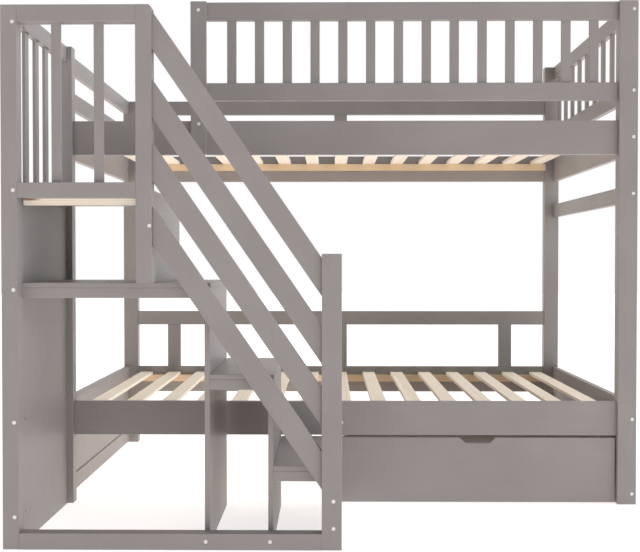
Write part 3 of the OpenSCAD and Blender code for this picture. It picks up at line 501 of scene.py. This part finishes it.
def plated_steel():
    """Bright zinc: a pale metal whose polish differs in small patches."""
    made, tree, shader = material("plated_steel", "steel")
    place = node(tree, "ShaderNodeTexCoord").outputs["Object"]
    patches = node(tree, "ShaderNodeTexNoise")
    patches.inputs["Scale"].default_value = ZINC_PATCHES
    link(tree, place, patches.inputs["Vector"])
    patch = patches.outputs["Fac"]
    link(tree, mixed(tree, patch, DULL_ZINC, BRIGHT_ZINC), shader.inputs["Base Color"])
    rough = spread(tree, patch, *MOST_NOISE, *ZINC_ROUGHNESS)
    link(tree, rough, shader.inputs["Roughness"])
    shader.inputs["Metallic"].default_value = ZINC_METAL
    return made


def wheel_plastic():
    """Moulded dark plastic, with the faint grain of its mould."""
    made, tree, shader = material("wheel_plastic", "wheel_plastic")
    place = node(tree, "ShaderNodeTexCoord").outputs["Object"]
    spots = node(tree, "ShaderNodeTexNoise")
    spots.inputs["Scale"].default_value = MOULD_GRAIN
    link(tree, place, spots.inputs["Vector"])
    spot = spots.outputs["Fac"]
    link(tree, mixed(tree, spot, DARK_PLASTIC, PALER_PLASTIC), shader.inputs["Base Color"])
    rough = spread(tree, spot, *MOST_NOISE, *PLASTIC_ROUGHNESS)
    link(tree, rough, shader.inputs["Roughness"])
    bump(tree, spot, PLASTIC_BUMP, PLASTIC_HEIGHT, shader)
    return made


finish_for = {
    "grey_paint": grey_paint(),
    "pine": bare_pine("slat_pine", PALE, PALER),
    "cleat_pine": bare_pine("cleat_pine", AMBER, HONEY),
    "steel": plated_steel(),
    "wheel_plastic": wheel_plastic(),
}
for name, solid in nodes.items():
    solid.data.materials.clear()
    solid.data.materials.append(finish_for[slot_of[name]])
print("materials:", ", ".join(finish_for))

# %% [markdown]
# ## Boards with eased edges
#
# A sharp solid has edges that no light can catch. On the real boards a router has taken
# the sharpness off every long edge, while the mortises and bolt holes stay crisp. So a copy
# of each solid is merged into whole faces, only the edges between two outer faces are
# selected, and those are bevelled. An outer face is one that has the whole board behind it.
#
# Three boards differ. The edges beside the bolts of one stile are finer, so that they stay
# clear of its counterbores. One guard rail hangs a little lower than its solid, which
# leaves no strip of light above the rear rail. The staircase's cleat is as pale as the
# slats, while the other cleats are amber.

# %% Select the outer edges of a board
SAME = 2e-5
SHARP = math.radians(20)


def outer_edges(mesh):
    """The numbers of the sharp edges where two outer faces meet."""
    co, label = points(mesh), part_labels(mesh)
    parts = {part: co[label == part] for part in np.unique(label)}
    edge_of = {tuple(sorted(e.vertices)): e.index for e in mesh.edges}
    outer_faces = {number: [] for number in range(len(mesh.edges))}
    for face in mesh.polygons:
        normal = np.array(face.normal)
        board = parts[label[face.vertices[0]]]
        if (board @ normal).max() > co[face.vertices[0]] @ normal + SAME:
            continue
        for key in face.edge_keys:
            outer_faces[edge_of[tuple(sorted(key))]].append(face.normal.copy())
    return [number for number, sides in outer_faces.items()
            if len(sides) == 2 and sides[0].angle(sides[1]) > SHARP]


# %% Ease a copy of a solid
FLAT = math.radians(1)
SMOOTH = math.radians(35)


def merged_copy(name, solid):
    """A copy of a solid whose loose triangles are merged into whole faces."""
    piece = bpy.data.objects.new(name, solid.data.copy())
    bpy.context.scene.collection.objects.link(piece)
    alone(piece)
    bpy.ops.object.mode_set(mode="EDIT")
    bpy.ops.mesh.select_all(action="SELECT")
    bpy.ops.mesh.remove_doubles(threshold=SAME)
    bpy.ops.mesh.dissolve_limited(angle_limit=FLAT)
    bpy.ops.object.mode_set(mode="OBJECT")
    return piece


def smooth_finish(piece):
    """Smooth eased edges beside faces that stay flat."""
    alone(piece)
    bpy.ops.object.shade_smooth_by_angle(angle=SMOOTH)
    flat = piece.modifiers.new("flat faces", "WEIGHTED_NORMAL")
    flat.keep_sharp = True
    bpy.ops.object.modifier_apply(modifier=flat.name)


def ease(piece, radius, steps=2, also=()):
    """Bevels the outer edges of a piece, and any others whose numbers are given."""
    alone(piece)
    mesh = piece.data
    chosen = sorted(set(outer_edges(mesh)) | set(also))
    bpy.ops.object.mode_set(mode="EDIT")
    bpy.ops.mesh.select_mode(type="EDGE")
    bpy.ops.mesh.select_all(action="DESELECT")
    bpy.ops.object.mode_set(mode="OBJECT")
    for number in chosen:
        mesh.edges[number].select = True
    bpy.ops.object.mode_set(mode="EDIT")
    bpy.ops.mesh.bevel(offset=radius, segments=steps, affect="EDGES", clamp_overlap=False)
    bpy.ops.object.mode_set(mode="OBJECT")
    return len(chosen)


# %% Edges of the hand notch
NOTCH_REACH = 0.06
NOTCH_DEEP = 0.03


def notch_edges(mesh):
    """The edges of the drawer front's notch, on its front and back faces."""
    co = points(mesh)
    top = co[:, 2].max()
    middle = (co[:, 0].min() + co[:, 0].max()) / 2
    chosen = []
    for edge in mesh.edges:
        a, b = (mesh.vertices[v].co for v in edge.vertices)
        near = max(abs(a.x - middle), abs(b.x - middle)) < NOTCH_REACH
        on_one_face = abs(a.y - b.y) < SAME
        in_notch = top - NOTCH_DEEP < min(a.z, b.z) < top - SAME
        if near and on_one_face and in_notch:
            chosen.append(edge.index)
    return chosen

# %% Pick points of a mesh
def pick(piece, test):
    """Selects the points that pass a test, and goes on in edit mode."""
    bpy.ops.object.mode_set(mode="EDIT")
    bpy.ops.mesh.select_mode(type="VERT")
    bpy.ops.mesh.select_all(action="DESELECT")
    bpy.ops.object.mode_set(mode="OBJECT")
    for v in piece.data.vertices:
        v.select = test(v.co)
    bpy.ops.object.mode_set(mode="EDIT")


def lower_underside(piece, drop):
    """Moves the underside of a board down a little."""
    underside = min(v.co.z for v in piece.data.vertices)
    alone(piece)
    pick(piece, lambda co: co.z < underside + SAME)
    bpy.ops.transform.translate(value=(0, 0, -drop))
    bpy.ops.object.mode_set(mode="OBJECT")


# %% Every board of the bed
EDGE = 0.0015
UNDERSIDE_DROP = {"front_guard_lower_rail": 0.002}
STAIRS_END = -0.5
HIDDEN_WOOD = {"wood_dowels", "drawer_dowels"}
CLEAT_WOOD = {"support_cleats", "centre_bearer"}
EDGE_BESIDE_BOLTS = {"stair_right_stile": 0.0008}


def slope_of(piece):
    """The direction of the longest edge of a piece."""
    verts = piece.data.vertices
    spans = [verts[e.vertices[1]].co - verts[e.vertices[0]].co for e in piece.data.edges]
    return tuple(max(spans, key=lambda v: v.length).normalized())


def stand_in(piece, name):
    """Puts a finished piece in the place of a solid, on its body."""
    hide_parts(name)
    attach(piece, body_of[name])


wooden = [n for n in nodes if slot_of[n] in ("grey_paint", "pine") and n not in HIDDEN_WOOD]
for name in wooden:
    piece = merged_copy(name + "_eased", nodes[name])
    if name in UNDERSIDE_DROP:
        lower_underside(piece, UNDERSIDE_DROP[name])
    notch = notch_edges(piece.data) if name == "drawer_front" else ()
    count = ease(piece, EDGE_BESIDE_BOLTS.get(name, EDGE), also=notch)
    smooth_finish(piece)
    lay_grain(piece, slope_of(piece) if name == "handrail_boards" else None)
    piece.data.materials.clear()
    piece.data.materials.append(finish_for["cleat_pine" if name in CLEAT_WOOD else slot_of[name]])
    stand_in(piece, name)
    print(name, "has", count, "eased edges and", len(piece.data.polygons), "faces")
    if name in CLEAT_WOOD:
        piece.data.materials.append(finish_for["pine"])
        for face in piece.data.polygons:
            face.material_index = int(face.center.y < STAIRS_END)

# %% [markdown]
# ## Fastenings
#
# Round bolts with a hexagon socket hold the frame, and cross-head screws hold the cleats,
# the slats and the drawer. Each kind is modelled once. Two rings, the head's face and the
# recess, are bridged, and the recess, the rim and the shank are extruded from them. The
# solid of each fastening then says where its copy goes and how long its shank is.

# %% Draw a mesh on from its picked points
NEAR = 1e-6


def pull(rise, widen=1.0, height=0.0):
    """Extrudes the picked ring along Z and widens it; height is where it ends."""
    bpy.ops.mesh.extrude_region_move(TRANSFORM_OT_translate={"value": (0, 0, rise)})
    if widen != 1:
        bpy.ops.transform.resize(value=(widen, widen, 1), center_override=(0, 0, height))


def fastening(name, sides, face_r, recess, depth, profile):
    """A bolt or screw that points up; profile lists radius and height from rim to tip."""
    bpy.ops.object.select_all(action="DESELECT")
    bpy.ops.mesh.primitive_circle_add(vertices=len(recess), radius=1)
    made = bpy.context.object
    made.name = name
    for v, (x, y) in zip(made.data.vertices, recess):
        v.co = (x, y, 0)
    reach = max(math.hypot(x, y) for x, y in recess)
    bpy.ops.object.mode_set(mode="EDIT")
    bpy.ops.mesh.primitive_circle_add(vertices=sides, radius=face_r)
    bpy.ops.mesh.select_all(action="SELECT")
    bpy.ops.mesh.bridge_edge_loops()
    pick(made, lambda co: math.hypot(co.x, co.y) < reach + NEAR)
    pull(depth)
    bpy.ops.mesh.edge_face_add()
    pick(made, lambda co: math.hypot(co.x, co.y) > face_r - NEAR)
    radius, height = face_r, 0
    for next_radius, next_height in profile:
        pull(next_height - height, next_radius / radius, next_height)
        radius, height = next_radius, next_height
    bpy.ops.mesh.edge_face_add()
    bpy.ops.mesh.select_all(action="SELECT")
    bpy.ops.mesh.normals_make_consistent(inside=False)
    bpy.ops.object.mode_set(mode="OBJECT")
    smooth_finish(made)
    print(name, "has", len(made.data.polygons), "faces")
    return made


# %% The three patterns
TIP = 0.02
SOCKET_R, SOCKET_DEEP = 0.0023, 0.0019
ARM, HALF_ARM = 0.0021, 0.0006
CROSS_CORNERS = 12
PAN_CROSS = 0.7
BOLT_SIDES, SCREW_SIDES = 24, 12
BOLT_FACE, SCREW_FACE, PAN_FACE = 0.0050, 0.0040, 0.0024
SCREW_CROSS_DEEP, PAN_CROSS_DEEP = 0.0012, 0.0009
BOLT_PROFILE = [(0.0060, 0.0007), (0.00625, 0.0018), (0.00625, 0.003), (0.003, 0.003), (0.003, TIP)]
SCREW_PROFILE = [(0.0020, 0.0020), (0.0020, TIP)]
PAN_PROFILE = [(0.0030, 0.0007), (0.0030, 0.0015), (0.00175, 0.0015), (0.00175, TIP)]
hexagon = []
for k in range(6):
    turn = k * math.pi / 3
    hexagon.append((SOCKET_R * math.cos(turn), SOCKET_R * math.sin(turn)))


def cross(size):
    """The twelve corners of a cross recess; every third one lies at the crossing."""
    corners = []
    step = 360 / CROSS_CORNERS
    for k in range(CROSS_CORNERS):
        turn = math.radians(step / 2 + step * k)
        radius = HALF_ARM * math.sqrt(2) if k % 3 == 1 else ARM
        corners.append((size * radius * math.cos(turn), size * radius * math.sin(turn)))
    return corners


bolt_pattern = fastening("bolt_pattern", BOLT_SIDES, BOLT_FACE, hexagon, SOCKET_DEEP, BOLT_PROFILE)
screw_pattern = fastening("screw_pattern", SCREW_SIDES, SCREW_FACE, cross(1), SCREW_CROSS_DEEP,
                          SCREW_PROFILE)
pan_pattern = fastening("pan_pattern", SCREW_SIDES, PAN_FACE, cross(PAN_CROSS), PAN_CROSS_DEEP,
                        PAN_PROFILE)

# %% Copy a pattern to each fastening
SHORT_SCREW = 0.0105
END_DEPTH = NEAR * 10


def head_and_way(co):
    """The middle of the head's face, the way it points, and its length."""
    low, high = co.min(0), co.max(0)
    axis = int(np.argmax(high - low))
    middle = (low + high) / 2
    across = np.delete(co - middle, axis, 1)
    radius = np.hypot(*across.T)
    at_low = radius[co[:, axis] < low[axis] + END_DEPTH].max()
    at_high = radius[co[:, axis] > high[axis] - END_DEPTH].max()
    way = np.zeros(3)
    way[axis] = 1 if at_low > at_high else -1
    start = middle.copy()
    start[axis] = low[axis] if at_low > at_high else high[axis]
    return Vector(start), Vector(way), float(high[axis] - low[axis])


def place_copies(name, choose_pattern):
    """Replaces the fastenings of a node by copies of a pattern."""
    merged = merged_copy(name + "_modelled", nodes[name])
    co, label = points(merged.data), part_labels(merged.data)
    copies = []
    for part in np.unique(label):
        start, way, length = head_and_way(co[label == part])
        pattern = choose_pattern(length)
        mesh = pattern.data.copy()
        place = Matrix.Translation(start) @ way.to_track_quat("Z", "Y").to_matrix().to_4x4()
        for v in mesh.vertices:
            if v.co.z > TIP - NEAR:
                v.co.z = length
        mesh.transform(place)
        copy = bpy.data.objects.new(name + "_copy", mesh)
        bpy.context.scene.collection.objects.link(copy)
        copies.append(copy)
    bpy.data.objects.remove(merged)
    alone(copies[0])
    for copy in copies:
        copy.select_set(True)
    bpy.ops.object.join()
    piece = copies[0]
    piece.name = name + "_modelled"
    piece.data.materials.clear()
    piece.data.materials.append(finish_for["steel"])
    stand_in(piece, name)
    print(name, "holds", len(copies), "copies with", len(piece.data.polygons), "faces")


place_copies("frame_bolts", lambda length: bolt_pattern)
place_copies("wood_screws", lambda length: screw_pattern)
place_copies("drawer_screws", lambda length: pan_pattern if length < SHORT_SCREW else screw_pattern)
for pattern in (bolt_pattern, screw_pattern, pan_pattern):
    bpy.data.objects.remove(pattern)

# %% [markdown]
# ## Casters
#
# The drawer rolls on four small plastic wheels in bent steel brackets. A moulded wheel has a
# crowned tread, a rim and a hub with a thin web and ribs between them. That is a spun
# section, so half of the wheel's outline is laid out as a ring of points and spun round the
# axle, and the ribs are blocks set in the recess.

# %% Lay out and spin a wheel
WHEEL_R = 0.020
HALF_WIDE = (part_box("front_left_wheel")[1][0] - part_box("front_left_wheel")[0][0]) / 2
BORE_R, HUB_R, RIM_R, WEB = 0.00305, 0.0062, 0.0150, 0.0022
DRAFT, LIP = 0.0006, 0.0008
CROWN = [(0, 0.0024), (0.0010, 0.0009), (0.0028, 0.0002)]
SPIN_STEPS = 48
half_section = [(HALF_WIDE, BORE_R), (HALF_WIDE, HUB_R), (WEB, HUB_R + DRAFT), (WEB, RIM_R - DRAFT),
                (HALF_WIDE - DRAFT, RIM_R), (HALF_WIDE, RIM_R + LIP)]
half_section += [(HALF_WIDE - inset, WHEEL_R - drop) for inset, drop in CROWN]
section = half_section + [(0, WHEEL_R)] + [(-x, r) for x, r in reversed(half_section)]

bpy.ops.object.select_all(action="DESELECT")
bpy.ops.mesh.primitive_circle_add(vertices=len(section), radius=1)
wheel_pattern = bpy.context.object
for v, (x, r) in zip(wheel_pattern.data.vertices, section):
    v.co = (x, 0, r)
bpy.ops.object.mode_set(mode="EDIT")
bpy.ops.mesh.select_all(action="SELECT")
bpy.ops.mesh.spin(steps=SPIN_STEPS, angle=2 * math.pi, center=(0, 0, 0), axis=(1, 0, 0))
bpy.ops.mesh.select_all(action="SELECT")
bpy.ops.mesh.remove_doubles(threshold=SAME)
bpy.ops.mesh.normals_make_consistent(inside=False)
bpy.ops.object.mode_set(mode="OBJECT")
print("wheel section of", len(section), "points spun into", len(wheel_pattern.data.polygons), "faces")

# %% Add the ribs, and copy the wheel to its four places
RIBS = 5
RIB_THICK, RIB_SET_IN, RIB_OVERLAP, RIB_EDGE = 0.0014, 0.0016, 0.0010, 0.0003
RIB = (2 * HALF_WIDE - RIB_SET_IN, RIB_THICK, RIM_R - HUB_R + RIB_OVERLAP)
ribs = []
for k in range(RIBS):
    turn = Matrix.Rotation(2 * math.pi * k / RIBS, 4, "X")
    bpy.ops.object.select_all(action="DESELECT")
    bpy.ops.mesh.primitive_cube_add(size=1)
    rib = bpy.context.object
    bpy.ops.object.mode_set(mode="EDIT")
    bpy.ops.mesh.select_all(action="SELECT")
    bpy.ops.transform.resize(value=RIB)
    bpy.ops.transform.translate(value=(0, 0, (HUB_R + RIM_R) / 2))
    bpy.ops.mesh.bevel(offset=RIB_EDGE, segments=1, affect="EDGES")
    bpy.ops.object.mode_set(mode="OBJECT")
    rib.data.transform(turn)
    ribs.append(rib)
alone(wheel_pattern)
for rib in ribs:
    rib.select_set(True)
bpy.ops.object.join()
smooth_finish(wheel_pattern)
for name in (n for n in nodes if slot_of[n] == "wheel_plastic"):
    low, high = (Vector(corner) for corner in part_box(name))
    wheel = bpy.data.objects.new(name + "_moulded", wheel_pattern.data.copy())
    bpy.context.scene.collection.objects.link(wheel)
    wheel.data.transform(Matrix.Translation((low + high) / 2))
    wheel.data.materials.clear()
    wheel.data.materials.append(finish_for["wheel_plastic"])
    stand_in(wheel, name)
bpy.data.objects.remove(wheel_pattern)
print("four wheels of", len(wheel.data.polygons), "faces")

# %% Ease the pressed and turned steel pieces
STEEL_EDGE = 0.0003
for name in ("caster_brackets", "caster_axles", "barrel_nuts"):
    piece = merged_copy(name + "_eased", nodes[name])
    count = ease(piece, STEEL_EDGE, 1)
    smooth_finish(piece)
    piece.data.materials.clear()
    piece.data.materials.append(finish_for["steel"])
    stand_in(piece, name)
    print(name, "has", count, "eased edges")
